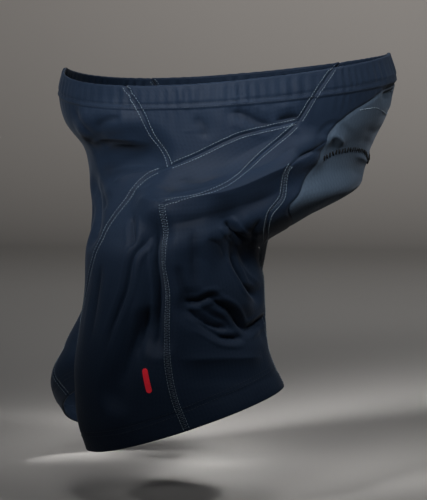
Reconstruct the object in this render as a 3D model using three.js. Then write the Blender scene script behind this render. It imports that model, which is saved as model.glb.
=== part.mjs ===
// Cycling shorts, filled out as when worn, with no wearer inside: hollow, open at the waist and both hems.
// Millimetres. +Z is up, the front faces -Y and the wearer's left is +X.
// The origin is the middle of the waist ring.
import * as THREE from "three";

const BODY_WALL = 1.3; // knit and seam allowance, one layer
const CASING_WALL = 3; // two layers of knit with the elastic between them
const HEM_WALL = 2.2; // knit turned up once over a gripper
const SEAM_GAP = 0.3; // between two pieces that are sewn together
const LEFT = 1;
const RIGHT = -1;

// Each half is a stack of rings, numbered from the waist edge down to the hem. u runs round a ring from the
// centre front (or inseam) over the outer side to the centre back (or inseam). The two halves share the trunk
// rings.
const CASING_END = 1; // ring at which the waist casing's stitching runs
const CASING_STEP = 1.12; // the wall is a single layer from here down
const CROTCH = 8; // ring at which the two halves part into legs
const HEM_STEP = 12.25; // the wall is a single layer from here up
const HEM_START = 12.35; // ring at which the hem's stitching runs
const HEM_EDGE = 13;
const RING_COLUMNS = [
  "frontY", // foremost point of the ring
  "frontZ",
  "backY", // rearmost point of the ring
  "backZ",
  "out", // half width at the outer side
  "mid", // x at which the foremost and rearmost points lie
  "inner", // x of a leg's inner side
  "wrapFront", // degrees that the ring turns inwards past its foremost point
  "wrapBack", // degrees that it turns inwards past its rearmost point
  "dip", // how far the outer side hangs below the middle
  "sag", // how far the centre line hangs below the ring
  "fullness", // 1 for an ellipse, less for a squarer ring
];
const TRUNK_RINGS = [
  [-149, 6, 145, 20, 112, 0, 0, 0, 0, 16, 0, 0.8],
  [-152, -14, 150, -3, 115, 0, 0, 0, 0, 14, 0, 0.8],
  [-147, -38, 143, -33, 117, 0, 0, 0, 0, 12, 0, 0.82],
  [-131, -60, 132, -55, 119, 0, 0, 0, 0, 8, 0, 0.86],
  [-125, -80, 124, -76, 124, 4, 0, 3, 2, 4, 0, 0.9],
  [-121, -99, 118, -97, 132, 26, 0, 16, 9, 2, 1, 0.94],
  [-117, -117, 90, -113, 142, 50, 0, 36, 22, 0, 3, 1],
  [-117, -134, 60, -129, 149, 68, 0, 62, 50, 0, 7, 1],
  [-119, -151, 35, -148, 152, 77, 0, 90, 90, 0, 12, 1],
];
const LEFT_LEG_RINGS = [
  [-120, -184, 38, -176, 151, 80, 7, 90, 90, 0, 4, 1],
  [-125, -221, 39, -203, 149, 82, 13, 90, 90, 0, 1, 1],
  [-129, -258, 41, -228, 147, 83, 17, 90, 90, 0, 0, 1],
  [-126, -300, 46, -247, 147, 84, 19, 90, 90, 0, 0, 1],
  [-119, -324, 56, -268, 149, 85, 20, 90, 90, 4, 0, 1],
];
// The right leg is set a little further forward, and its hem is drawn in with the inner side higher.
const RIGHT_LEG_RINGS = [
  [-128, -184, 26, -180, 150, 79, 8, 90, 90, 1, 4, 1],
  [-145, -224, 22, -212, 147, 80, 14, 90, 90, 6, 1, 1],
  [-163, -262, 6, -243, 144, 80, 18, 90, 90, 15, 0, 1],
  [-176, -297, -8, -270, 141, 80, 20, 90, 90, 28, 0, 1],
  [-165, -321, -6, -296, 139, 80, 22, 90, 90, 28, 0, 1],
];
const DIP_FORWARD = 0.35; // share by which the dip is deeper in front of the hip than behind it

// Seams as [u, ring] places, the same on both halves, drawn on the cloth of the half as smooth curves.
const SEAMS = {
  hipFront: [[0.32, 0], [0.34, 0.6], [0.365, 1.45], [0.38, 2.35], [0.395, 3.45]],
  hipBack: [[0.735, 0], [0.705, 0.55], [0.68, 1.1], [0.66, 1.7]],
  hipFoot: [[0.395, 3.45], [0.465, 2.8], [0.52, 2.25], [0.565, 1.95], [0.66, 1.7]],
  thighFront: [[0.395, 3.45], [0.345, 3.85], [0.325, 4.6], [0.335, 6.2], [0.345, 7.8], [0.305, 8.95],
    [0.25, 10.2], [0.2, 11.6], [0.17, 13]],
  thighTop: [[0.66, 1.7], [0.59, 3], [0.535, 4.45], [0.45, 5.7]],
  thighBack: [[0.45, 5.7], [0.485, 6.8], [0.5, 8.35], [0.505, 10.1], [0.515, 13]],
  seatTop: [[1, 1.12], [0.95, 1.12], [0.9, 1.15], [0.84, 1.38], [0.775, 1.7], [0.738, 2.2], [0.735, 2.6]],
  seatFoot: [[0.735, 2.6], [0.725, 3.6], [0.7, 4.5], [0.7, 5.5], [0.76, 6.5], [0.87, 7.4], [1, 8]],
  legBack: [[0.735, 2.6], [0.68, 3.15], [0.652, 3.7], [0.652, 4.6], [0.672, 5.85], [0.7, 7], [0.745, 8.3],
    [0.755, 10], [0.76, 13]],
  centreFront: [[0, 0], [0, 8]],
  centreBackTop: [[1, 0], [1, 1.12]],
  centreBackFoot: [[1, 1.12], [1, 8]],
  inseamFront: [[0, 8], [0, 13]],
  inseamBack: [[1, 8], [1, 13]],
};
// How many steps each seam is cut into, equal where two seams face each other across a piece.
const STEPS = {
  hipSide: 8,
  hipFoot: 8,
  thighFront: 19,
  thighTop: 9,
  thighBack: 18,
  centreFront: 15,
  centreBackTop: 3,
  seatTop: 9,
  seatFoot: 11,
  inseam: 12,
  frontAcross: 9,
  thighAcross: 8,
  backAcross: 10,
  innerAcross: 6,
  seatAcross: 6,
};

// The largest folds: the half each lies on, its course as [u, ring] places, its half width and how far it
// stands out (or, below zero, sinks in).
const FOLDS = [
  { half: LEFT, course: [[0.4, 5.25], [0.45, 5.7], [0.545, 4.65], [0.69, 3.05]], reach: 26, height: 9 },
  { half: LEFT, course: [[0.24, 2.5], [0.34, 2.9]], reach: 32, height: -10 },
  { half: LEFT, course: [[0.21, 1.7], [0.31, 1.55]], reach: 24, height: 5 },
  { half: LEFT, course: [[0.47, 6.8], [0.483, 8.7], [0.488, 10.2]], reach: 20, height: -8 },
  { half: LEFT, course: [[0.465, 9.9], [0.415, 11.5]], reach: 22, height: -5 },
  { half: LEFT, course: [[0.16, 4.9], [0.25, 6.2], [0.29, 7]], reach: 20, height: -5 },
  { half: LEFT, course: [[0.59, 6.2], [0.64, 7.5], [0.7, 9.3]], reach: 20, height: -6 },
  { half: LEFT, course: [[0.545, 9.4], [0.6, 10], [0.72, 10.4]], reach: 20, height: -5 },
  { half: RIGHT, course: [[0.38, 5.3], [0.47, 5.5], [0.57, 4.5], [0.7, 3.2]], reach: 27, height: 8 },
  { half: RIGHT, course: [[0.25, 2.6], [0.33, 3.1]], reach: 30, height: -8 },
  { half: RIGHT, course: [[0.2, 1.6], [0.29, 1.7]], reach: 22, height: 4 },
  { half: RIGHT, course: [[0.46, 7], [0.475, 8.9], [0.5, 10.6]], reach: 22, height: -7 },
  { half: RIGHT, course: [[0.17, 5.1], [0.27, 6.7]], reach: 20, height: -5 },
  { half: RIGHT, course: [[0.6, 6.4], [0.66, 7.8], [0.69, 9]], reach: 20, height: -6 },
  { half: RIGHT, course: [[0.56, 9.7], [0.64, 10.2], [0.7, 10.9]], reach: 18, height: -4 },
];

const RINGS_PER_TURN = 15; // one turn of u is about as long as this many ring spacings
const DIFFERENCE = 0.004; // step in u for finding a normal
const MOST_MITRE = 4; // how many times the gap a sharp corner may be drawn back
const FIRST_WRAP = 3; // ring above which none turns inwards at the centre line
const ROUND_WRAP = 45; // degrees of wrap past which a ring rounds off into a leg
const COURSE_POINTS = 4; // places that stand for each stretch of a fold's course
const HALVINGS = 30; // of a seam's length, to find where it crosses a ring
const SAME_PLACE = 0.01; // places nearer than this are one vertex

const radians = THREE.MathUtils.degToRad;
const smooth = (x) => THREE.MathUtils.smoothstep(x, 0, 1);
const rings = {
  [LEFT]: [...TRUNK_RINGS, ...LEFT_LEG_RINGS],
  [RIGHT]: [...TRUNK_RINGS, ...RIGHT_LEG_RINGS],
};

// The ring at any height v: the table's columns carried smoothly from row to row.
function ringAt(half, v) {
  const rows = rings[half];
  const first = Math.min(Math.max(Math.floor(v), 0), rows.length - 2);
  const t = v - first;
  const beyond = (a, b, k) => 2 * rows[a][k] - rows[b][k];
  const ring = {};
  RING_COLUMNS.forEach((column, k) => {
    const before = first > 0 ? rows[first - 1][k] : beyond(0, 1, k);
    const start = rows[first][k];
    const end = rows[first + 1][k];
    const after = first + 2 < rows.length ? rows[first + 2][k] : beyond(first + 1, first, k);
    const slope = after - before + 3 * (start - end);
    const bend = 2 * before - 5 * start + 4 * end - after;
    ring[column] = start + 0.5 * t * (end - before + t * (bend + t * slope));
  });
  if (v >= CROTCH) ring.wrapFront = ring.wrapBack = 90;
  else ring.inner = 0;
  if (v <= FIRST_WRAP) ring.mid = ring.wrapFront = ring.wrapBack = 0;
  return ring;
}

// A place on the smooth form of a half, before its folds.
function formPoint(half, u, v) {
  if (v < CROTCH && (u < 0 || u > 1)) {
    const mirrored = formPoint(half, u < 0 ? -u : 2 - u, v);
    return mirrored.setX(-mirrored.x);
  }
  const turn = v < CROTCH ? u : u - Math.floor(u) || (u >= 1 ? 1 : 0);
  const r = ringAt(half, v);
  const angle = turn * (180 + r.wrapFront + r.wrapBack) - r.wrapFront;
  let x = r.mid;
  let along = -Math.cos(radians(angle));
  let drop = 0;
  if (angle >= 0 && angle <= 180) {
    const side = Math.sin(radians(angle));
    x += (r.out - r.mid) * side ** r.fullness;
    drop = r.dip * side * (1 - DIP_FORWARD * along);
  } else {
    const front = angle < 0;
    const wrap = front ? r.wrapFront : r.wrapBack;
    const past = Math.min((front ? -angle : angle - 180) / wrap, 1);
    const round = THREE.MathUtils.clamp((wrap - ROUND_WRAP) / (90 - ROUND_WRAP), 0, 1) ** 2;
    const arc = Math.sin(radians(wrap * past)) / Math.sin(radians(wrap));
    const bridge = 1 - (1 - Math.cos(radians(wrap))) * smooth(past);
    const turned = round * Math.cos(radians(wrap * past)) + (1 - round) * bridge;
    x += (r.inner - r.mid) * (round * arc + (1 - round) * past);
    along = front ? -turned : turned;
    drop = r.sag * smooth(past) - r.dip * Math.sin(radians(wrap * past)) * (1 - DIP_FORWARD * along);
  }
  const share = (1 + along) / 2;
  const y = r.frontY + (r.backY - r.frontY) * share;
  const z = r.frontZ + (r.backZ - r.frontZ) * share - drop;
  return new THREE.Vector3(half * x, y, z);
}

// The outward normal of a surface given by its point function.
function normalOf(pointAt, half, u, v) {
  const dv = DIFFERENCE * RINGS_PER_TURN;
  const round = pointAt(half, u + DIFFERENCE, v).sub(pointAt(half, u - DIFFERENCE, v));
  const down = pointAt(half, u, Math.min(v + dv, HEM_EDGE)).sub(pointAt(half, u, Math.max(v - dv, 0)));
  const normal = down.cross(round).multiplyScalar(half);
  if (v <= CROTCH && (u === 0 || u === 1)) normal.setX(0);
  if (v === CROTCH && (u === 0 || u === 1)) normal.set(0, 0, -1);
  return normal.normalize();
}

const coursePoints = FOLDS.map(({ half, course }) => {
  const curve = new THREE.SplineCurve(course.map(([u, v]) => new THREE.Vector2(u * RINGS_PER_TURN, v)));
  const spaced = curve.getSpacedPoints(COURSE_POINTS * course.length);
  return spaced.map((p) => formPoint(half, p.x / RINGS_PER_TURN, p.y));
});

// How far the folds move the cloth outwards at a place on the form.
function foldHeight(half, place) {
  let height = 0;
  const nearest = new THREE.Vector3();
  FOLDS.forEach((fold, index) => {
    if (fold.half !== half) return;
    let distance = Infinity;
    coursePoints[index].slice(1).forEach((end, k) => {
      const stretch = new THREE.Line3(coursePoints[index][k], end);
      stretch.closestPointToPoint(place, true, nearest);
      distance = Math.min(distance, nearest.distanceTo(place));
    });
    if (distance < fold.reach) height += fold.height * Math.cos((Math.PI * distance) / fold.reach / 2) ** 2;
  });
  return height;
}

function clothPoint(half, u, v) {
  const place = formPoint(half, u, v);
  const height = foldHeight(half, place);
  return height ? place.addScaledVector(normalOf(formPoint, half, u, v), height) : place;
}

function wallAt(v) {
  const casing = 1 - THREE.MathUtils.smoothstep(v, CASING_END, CASING_STEP);
  const hem = THREE.MathUtils.smoothstep(v, HEM_STEP, HEM_START);
  return BODY_WALL + (CASING_WALL - BODY_WALL) * casing + (HEM_WALL - BODY_WALL) * hem;
}

// Evenly spaced [u, v] places along a seam. One that crosses the casing or reaches the hem has a place at
// each step in the wall.
function seamPlaces(name, steps) {
  const curve = new THREE.SplineCurve(SEAMS[name].map(([u, v]) => new THREE.Vector2(u * RINGS_PER_TURN, v)));
  const onCurve = (t) => curve.getPointAt(THREE.MathUtils.clamp(t, 0, 1));
  const shareAt = (v) => {
    let low = 0;
    let high = 1;
    for (let i = 0; i < HALVINGS; i += 1) {
      const middle = (low + high) / 2;
      if (onCurve(middle).y < v) low = middle;
      else high = middle;
    }
    return high;
  };
  const head = SEAMS[name][0][1] === 0 ? [0, CASING_END / 2, CASING_END, CASING_STEP] : [];
  const tail = SEAMS[name].at(-1)[1] === HEM_EDGE ? [HEM_STEP, HEM_START, HEM_EDGE] : [];
  const shares = head.map(shareAt);
  const from = shares.length ? shares.pop() : 0;
  const tailShares = tail.map(shareAt);
  const to = tailShares.length ? tailShares.shift() : 1;
  const spaced = steps - shares.length - tailShares.length;
  for (let i = 0; i <= spaced; i += 1) shares.push(spaced ? from + ((to - from) * i) / spaced : from);
  shares.push(...tailShares);
  return shares.map((share, i) => {
    const p = onCurve(share);
    const end = i === 0 ? SEAMS[name][0] : i === steps ? SEAMS[name].at(-1) : null;
    return end ? [...end] : [p.x / RINGS_PER_TURN, p.y];
  });
}

const joined = (...runs) => runs.reduce((all, run) => all.concat(run.slice(1)));
const blend = (a, b, t) => [a[0] + (b[0] - a[0]) * t, a[1] + (b[1] - a[1]) * t];

// The places of a piece as rows between two facing seams. A curved foot edge is eased out over the rows.
function pieceRows(fore, aft, across, footEdge) {
  const last = fore.length - 1;
  return fore.map((start, i) => Array.from({ length: across + 1 }, (_, j) => {
    const place = blend(start, aft[i], j / across);
    if (!footEdge) return place;
    const straight = blend(fore[last], aft[last], j / across);
    return place.map((c, k) => c + (footEdge[j][k] - straight[k]) * (i / last));
  }));
}

// A closed wall on rows of places: an outer face, an inner face and the cut edge between them. The edge is
// drawn back by half the seam gap.
function wallGeometry(rows) {
  const key = (p) => p.outer.toArray().map((c) => Math.round(c / SAME_PLACE)).join();
  const seen = new Map();
  const grid = rows.map((row) => row.map(({ half, u, v }) => {
    const made = { outer: clothPoint(half, u, v), normal: normalOf(clothPoint, half, u, v), wall: wallAt(v) };
    const k = key(made);
    if (!seen.has(k)) seen.set(k, made);
    return seen.get(k);
  }));
  const vertices = [...seen.values()];
  vertices.forEach((p, i) => {
    p.index = i;
  });
  const faces = [];
  const addFace = (a, b, c) => {
    if (a !== b && b !== c && c !== a) faces.push([a, b, c]);
  };
  for (let i = 0; i + 1 < grid.length; i += 1) {
    for (let j = 0; j + 1 < grid[i].length; j += 1) {
      const corners = [grid[i][j], grid[i + 1][j], grid[i + 1][j + 1], grid[i][j + 1]];
      const [a, b, c, d] = corners;
      if (a.outer.distanceTo(c.outer) <= b.outer.distanceTo(d.outer)) {
        addFace(a, b, c);
        addFace(a, c, d);
      } else {
        addFace(a, b, d);
        addFace(b, c, d);
      }
    }
  }
  const turn = new THREE.Triangle(...faces[0].map((p) => p.outer)).getNormal(new THREE.Vector3());
  if (turn.dot(faces[0][0].normal) < 0) faces.forEach((face) => face.reverse());

  const next = new Map();
  const sides = faces.flatMap(([a, b, c]) => [[a, b], [b, c], [c, a]]);
  const edges = new Set(sides.map(([a, b]) => `${a.index} ${b.index}`));
  edges.forEach((edge) => {
    const [a, b] = edge.split(" ");
    if (!edges.has(`${b} ${a}`)) next.set(vertices[a], vertices[b]);
  });
  const drawnBack = new Map();
  next.forEach((to, from) => {
    const after = next.get(to);
    const inwards = [[from, to], [to, after]].map(([p, q]) => {
      const way = q.outer.clone().sub(p.outer);
      return to.normal.clone().cross(way).normalize();
    });
    const mitre = inwards[0].clone().add(inwards[1]).normalize();
    const length = Math.min(1 / Math.max(mitre.dot(inwards[0]), 1 / MOST_MITRE), MOST_MITRE);
    drawnBack.set(to, mitre.multiplyScalar((length * SEAM_GAP) / 2));
  });
  drawnBack.forEach((move, p) => p.outer.add(move));

  const positions = [];
  vertices.forEach((p) => positions.push(...p.outer.toArray()));
  vertices.forEach((p) => positions.push(...p.outer.clone().addScaledVector(p.normal, -p.wall).toArray()));
  const inside = vertices.length;
  const triangles = faces.flatMap(([a, b, c]) => [
    a.index, b.index, c.index, c.index + inside, b.index + inside, a.index + inside,
  ]);
  next.forEach((to, from) => {
    triangles.push(to.index, from.index, from.index + inside);
    triangles.push(to.index, from.index + inside, to.index + inside);
  });
  const geometry = new THREE.BufferGeometry();
  geometry.setAttribute("position", new THREE.Float32BufferAttribute(positions, 3));
  geometry.setIndex(triangles);
  geometry.computeVertexNormals();
  return geometry;
}

// The near-black navy of the body knit, and the slightly lighter knit of the seat.
const bodyKnit = new THREE.MeshStandardMaterial({ color: 0x161d2b, roughness: 0.6, metalness: 0 });
const seatKnit = new THREE.MeshStandardMaterial({ color: 0x263242, roughness: 0.75, metalness: 0 });
const shorts = new THREE.Group();

function addPiece(name, rows, material) {
  const piece = new THREE.Mesh(wallGeometry(rows), material);
  piece.name = name;
  shorts.add(piece);
}

const hipFrontSeam = seamPlaces("hipFront", STEPS.hipSide);
const hipBackSeam = seamPlaces("hipBack", STEPS.hipSide);
const hipFootSeam = seamPlaces("hipFoot", STEPS.hipFoot);
const thighFrontSeam = seamPlaces("thighFront", STEPS.thighFront);
const thighTopSeam = seamPlaces("thighTop", STEPS.thighTop);
const thighBackSeam = joined(thighTopSeam, seamPlaces("thighBack", STEPS.thighBack));
const legBackSeam = seamPlaces("legBack", STEPS.seatFoot + STEPS.inseam);
const seatTopSeam = seamPlaces("seatTop", STEPS.seatTop);
const seatFootSeam = seamPlaces("seatFoot", STEPS.seatFoot);
const seatSeam = joined(seatTopSeam, seatFootSeam);
const seatMiddle = seamPlaces("centreBackFoot", seatSeam.length - 1);
const pieces = {
  front: pieceRows(
    joined(seamPlaces("centreFront", STEPS.centreFront), seamPlaces("inseamFront", STEPS.inseam)),
    joined(hipFrontSeam, thighFrontSeam),
    STEPS.frontAcross,
  ),
  hip: pieceRows(hipFrontSeam, hipBackSeam, STEPS.hipFoot, hipFootSeam),
  thigh: pieceRows(joined([...hipFootSeam].reverse(), thighFrontSeam), thighBackSeam, STEPS.thighAcross),
  back: pieceRows(
    joined(hipBackSeam, thighBackSeam),
    joined(seamPlaces("centreBackTop", STEPS.centreBackTop), seatTopSeam, legBackSeam),
    STEPS.backAcross,
  ),
  inner_leg: pieceRows(
    legBackSeam,
    joined(seatFootSeam, seamPlaces("inseamBack", STEPS.inseam)),
    STEPS.innerAcross,
  ),
};
[["left", LEFT], ["right", RIGHT]].forEach(([side, half]) => {
  Object.entries(pieces).forEach(([name, rows]) => {
    addPiece(`${side}_${name}`, rows.map((row) => row.map(([u, v]) => ({ half, u, v }))), bodyKnit);
  });
});

// The seat piece runs across the centre line, from one half's seam to the other's.
const seatRows = pieceRows(seatSeam, seatMiddle, STEPS.seatAcross).map((row) => [
  ...row.map(([u, v]) => ({ half: LEFT, u, v })),
  ...row.slice(0, -1).reverse().map(([u, v]) => ({ half: RIGHT, u, v })),
]);
addPiece("seat", seatRows, seatKnit);

export default shorts;
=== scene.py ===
import bmesh
import bpy
import numpy as np
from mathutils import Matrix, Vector, kdtree


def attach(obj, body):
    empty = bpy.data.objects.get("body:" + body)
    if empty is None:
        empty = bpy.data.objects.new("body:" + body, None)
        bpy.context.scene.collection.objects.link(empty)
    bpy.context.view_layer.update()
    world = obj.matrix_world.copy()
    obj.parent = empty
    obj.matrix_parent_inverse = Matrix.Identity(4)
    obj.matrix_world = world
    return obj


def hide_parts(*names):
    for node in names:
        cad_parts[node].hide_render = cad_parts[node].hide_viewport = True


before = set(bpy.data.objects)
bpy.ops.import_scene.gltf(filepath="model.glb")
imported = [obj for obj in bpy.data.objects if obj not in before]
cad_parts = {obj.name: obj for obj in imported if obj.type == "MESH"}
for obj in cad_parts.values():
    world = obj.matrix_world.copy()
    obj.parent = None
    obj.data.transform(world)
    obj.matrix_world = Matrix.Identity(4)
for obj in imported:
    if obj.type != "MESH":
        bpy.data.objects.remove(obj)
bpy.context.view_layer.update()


# The studio: a pale floor just under the hems that curves up into a low backdrop, painted darker at the
# foot of the curve as painted shade, and soft light from above. The camera looks at the wearer's left side
# from a little behind and above, as in the photograph.
FLOOR_Z, FLOOR_FRONT_X, FLOOR_HALF_WIDTH = -0.372, 3.5, 5.0
BACKDROP_X, BACKDROP_RADIUS = -1.9, 0.9
BACKDROP_ANGLES = range(10, 61, 5)
# Metres and degrees. The lens gives 2444 pixels of focal length on a picture 427 pixels wide.
CAMERA_PLACE = (2.1972, 0.1787, 0.0738)
CAMERA_TILT, CAMERA_TURN = 84.0, 95.0
PICTURE_WIDTH, FOCAL_PIXELS = 427, 2444
SENSOR = 36.0


def new_object(name, data):
    """An object in the scene."""
    thing = bpy.data.objects.new(name, data)
    bpy.context.collection.objects.link(thing)
    return thing


camera_data = bpy.data.cameras.new("studio_camera")
camera_data.sensor_fit = "HORIZONTAL"
camera_data.sensor_width = SENSOR
camera_data.lens = SENSOR * FOCAL_PIXELS / PICTURE_WIDTH
camera_data.clip_end = 50
camera = new_object("studio_camera", camera_data)
camera.location = CAMERA_PLACE
camera.rotation_euler = np.radians((CAMERA_TILT, 0, CAMERA_TURN))
bpy.context.scene.camera = camera
bpy.context.scene.view_settings.view_transform = "Standard"

floor_profile = [(FLOOR_FRONT_X, FLOOR_Z), (BACKDROP_X, FLOOR_Z)]
for angle in np.radians(BACKDROP_ANGLES):
    rise = BACKDROP_RADIUS * (1 - np.cos(angle))
    floor_profile.append((BACKDROP_X - BACKDROP_RADIUS * np.sin(angle), FLOOR_Z + rise))
floor_points = [(x, y, z) for x, z in floor_profile for y in (-FLOOR_HALF_WIDTH, FLOOR_HALF_WIDTH)]
floor_faces = [(2 * i, 2 * i + 1, 2 * i + 3, 2 * i + 2) for i in range(len(floor_profile) - 1)]
floor_mesh = bpy.data.meshes.new("studio_floor")
floor_mesh.from_pydata(floor_points, [], floor_faces)
floor_mesh.shade_smooth()
floor = new_object("studio_floor", floor_mesh)


def new_material(name):
    """A material and its shader."""
    material = bpy.data.materials.new(name)
    material.use_nodes = True
    return material, material.node_tree.nodes["Principled BSDF"]


def put(node, **values):
    """Sets a node's free inputs, named with _ for a space."""
    for label, value in values.items():
        node.inputs[label.replace("_", " ")].default_value = value


def link(source, output, target, socket):
    """Joins two nodes of one tree by the names of their sockets."""
    source.id_data.links.new(source.outputs[output], target.inputs[socket])


def tone_ramp(tree, stops):
    """A colour ramp through the stops, each a position and a colour."""
    node = tree.nodes.new("ShaderNodeValToRGB")
    elements = node.color_ramp.elements
    first, *middle, last = stops
    for element, (position, colour) in zip(elements, (first, last)):
        element.position, element.color = position, (*colour, 1)
    for position, colour in middle:
        elements.new(position).color = (*colour, 1)
    return node


floor_paint, floor_surface = new_material("pale_floor")
paint = floor_surface.id_data
mottle = paint.nodes.new("ShaderNodeTexNoise")
put(mottle, Scale=2.5)
mottle_tone = tone_ramp(paint, [(0, (0.93, 0.93, 0.93)), (1, (1, 1, 1))])
# Painted shade: darkest, at 0.18, at the foot of the backdrop's curve; pale on the open floor and backdrop.
floor_painted_shade_ramp = tone_ramp(paint, [(0, (0.52, 0.48, 0.445)), (0.24, (0.18, 0.168, 0.155)),
                               (0.7, (0.50, 0.48, 0.46)), (1, (0.54, 0.52, 0.50))])
depth = paint.nodes.new("ShaderNodeMapRange")
put(depth, From_Min=BACKDROP_X - BACKDROP_RADIUS, From_Max=0.6)
spot_parts = paint.nodes.new("ShaderNodeSeparateXYZ")
blend_tones = paint.nodes.new("ShaderNodeMix")
blend_tones.data_type = "RGBA"
blend_tones.blend_type = "MULTIPLY"
put(blend_tones, Factor=1)
floor_spot = paint.nodes.new("ShaderNodeTexCoord")
link(floor_spot, "Object", mottle, "Vector")
link(mottle, "Fac", mottle_tone, "Fac")
link(floor_spot, "Object", spot_parts, "Vector")
link(spot_parts, "X", depth, "Value")
link(depth, "Result", floor_painted_shade_ramp, "Fac")
link(mottle_tone, "Color", blend_tones, "A")
link(floor_painted_shade_ramp, "Color", blend_tones, "B")
link(blend_tones, "Result", floor_surface, "Base Color")
put(floor_surface, Roughness=0.8)
floor_mesh.materials.append(floor_paint)

world = bpy.data.worlds.new("studio_air")
bpy.context.scene.world = world
world.use_nodes = True
put(world.node_tree.nodes["Background"], Color=(0.93, 0.96, 1.0, 1), Strength=0.06)

# Name, place, aim, size, watts and the beam's spread in degrees.
LAMPS = [
    ("hip_softbox", (0.5, -0.08, 0.2), (0.115, 0.0, 0.0), (0.25, 0.12), 0.37, 46),
    ("top_softbox", (0.42, 0.1, 0.8), (0.1, 0.03, 0.05), (0.4, 0.5), 0.15, 24),
    ("seat_softbox", (0.28, 0.45, 0.55), (0.05, 0.11, 0.0), (0.25, 0.25), 0.24, 20),
    ("crown_softbox", (0.1, 0.1, 1.5), (0.05, 0.05, 0.0), (0.9, 0.9), 0.4, 60),
    ("front_softbox", (0.5, -0.5, 0.45), (0.06, -0.14, 0.02), (0.4, 0.4), 0.5, 20),
    ("floor_wash", (-0.9, 0.7, 1.6), (-1.0, 0.5, FLOOR_Z), (1.6, 1.6), 2.45, 140),
    ("backdrop_wash", (-1.2, 0.3, 1.6), (-2.7, 0.3, 0.2), (1.6, 0.8), 13.0, 140),
]
for lamp_name, lamp_place, lamp_aim, lamp_size, watts, spread in LAMPS:
    lamp_data = bpy.data.lights.new(lamp_name, "AREA")
    lamp_data.shape = "RECTANGLE"
    lamp_data.size, lamp_data.size_y = lamp_size
    lamp_data.energy = watts
    lamp_data.spread = np.radians(spread)
    lamp = new_object(lamp_name, lamp_data)
    lamp.location = lamp_place
    lamp.visible_camera = False
    lamp.rotation_euler = (Vector(lamp_aim) - Vector(lamp_place)).to_track_quat("-Z", "Y").to_euler()


# The two front pieces: smooth stretch knit from the centre front seam to the hip and thigh seams, down to
# the hem. The waist casing and the hem are turned over from the piece itself and cover-stitched.
LEFT, RIGHT = 1, -1
RINGS_PER_TURN = 15
CASING_END, CASING_STEP, CROTCH, HEM_STEP, HEM_START, HEM_EDGE = 1, 1.12, 8, 12.25, 12.35, 13
BODY_WALL, CASING_WALL, HEM_WALL = 1.3, 3.0, 2.2
DIP_FORWARD = 0.35
FIRST_WRAP, ROUND_WRAP = 3, 45
MM = 0.001
# Rings of the form, in millimetres, with the wraps in degrees. A place on the form is [u, v]: u runs from 0
# at the centre front over the outer side to 1 at the centre back, and v is the ring, from 0 at the waist.
RING_COLUMNS = "front_y front_z back_y back_z out mid inner wrap_front wrap_back dip sag fullness".split()
TRUNK_RINGS = [
    (-149, 6, 145, 20, 112, 0, 0, 0, 0, 16, 0, 0.8),
    (-152, -14, 150, -3, 115, 0, 0, 0, 0, 14, 0, 0.8),
    (-147, -38, 143, -33, 117, 0, 0, 0, 0, 12, 0, 0.82),
    (-131, -60, 132, -55, 119, 0, 0, 0, 0, 8, 0, 0.86),
    (-125, -80, 124, -76, 124, 4, 0, 3, 2, 4, 0, 0.9),
    (-121, -99, 118, -97, 132, 26, 0, 16, 9, 2, 1, 0.94),
    (-117, -117, 90, -113, 142, 50, 0, 36, 22, 0, 3, 1),
    (-117, -134, 60, -129, 149, 68, 0, 62, 50, 0, 7, 1),
    (-119, -151, 35, -148, 152, 77, 0, 90, 90, 0, 12, 1),
]
LEG_RINGS = {
    LEFT: [
        (-120, -184, 38, -176, 151, 80, 7, 90, 90, 0, 4, 1),
        (-125, -221, 39, -203, 149, 82, 13, 90, 90, 0, 1, 1),
        (-129, -258, 41, -228, 147, 83, 17, 90, 90, 0, 0, 1),
        (-126, -300, 46, -247, 147, 84, 19, 90, 90, 0, 0, 1),
        (-119, -324, 56, -268, 149, 85, 20, 90, 90, 4, 0, 1),
    ],
    RIGHT: [
        (-128, -184, 26, -180, 150, 79, 8, 90, 90, 1, 4, 1),
        (-145, -224, 22, -212, 147, 80, 14, 90, 90, 6, 1, 1),
        (-163, -262, 6, -243, 144, 80, 18, 90, 90, 15, 0, 1),
        (-176, -297, -8, -270, 141, 80, 20, 90, 90, 28, 0, 1),
        (-165, -321, -6, -296, 139, 80, 22, 90, 90, 28, 0, 1),
    ],
}
SEAMS = {
    "hip_front": [(0.32, 0), (0.34, 0.6), (0.365, 1.45), (0.38, 2.35), (0.395, 3.45)],
    "hip_back": [(0.735, 0), (0.705, 0.55), (0.68, 1.1), (0.66, 1.7)],
    "hip_foot": [(0.395, 3.45), (0.465, 2.8), (0.52, 2.25), (0.565, 1.95), (0.66, 1.7)],
    "thigh_front": [(0.395, 3.45), (0.345, 3.85), (0.325, 4.6), (0.335, 6.2), (0.345, 7.8), (0.305, 8.95),
                    (0.25, 10.2), (0.2, 11.6), (0.17, 13)],
    "thigh_top": [(0.66, 1.7), (0.59, 3), (0.535, 4.45), (0.45, 5.7)],
    "thigh_back": [(0.45, 5.7), (0.485, 6.8), (0.5, 8.35), (0.505, 10.1), (0.515, 13)],
    "seat_top": [(1, 1.12), (0.95, 1.12), (0.9, 1.15), (0.84, 1.38), (0.775, 1.7), (0.738, 2.2),
                 (0.735, 2.6)],
    "seat_foot": [(0.735, 2.6), (0.725, 3.6), (0.7, 4.5), (0.7, 5.5), (0.76, 6.5), (0.87, 7.4), (1, 8)],
    "leg_back": [(0.735, 2.6), (0.68, 3.15), (0.652, 3.7), (0.652, 4.6), (0.672, 5.85), (0.7, 7),
                 (0.745, 8.3), (0.755, 10), (0.76, 13)],
    "centre_front": [(0, 0), (0, 8)],
    "centre_back_top": [(1, 0), (1, 1.12)],
    "centre_back_foot": [(1, 1.12), (1, 8)],
    "inseam_front": [(0, 8), (0, 13)],
    "inseam_back": [(1, 8), (1, 13)],
}
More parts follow.
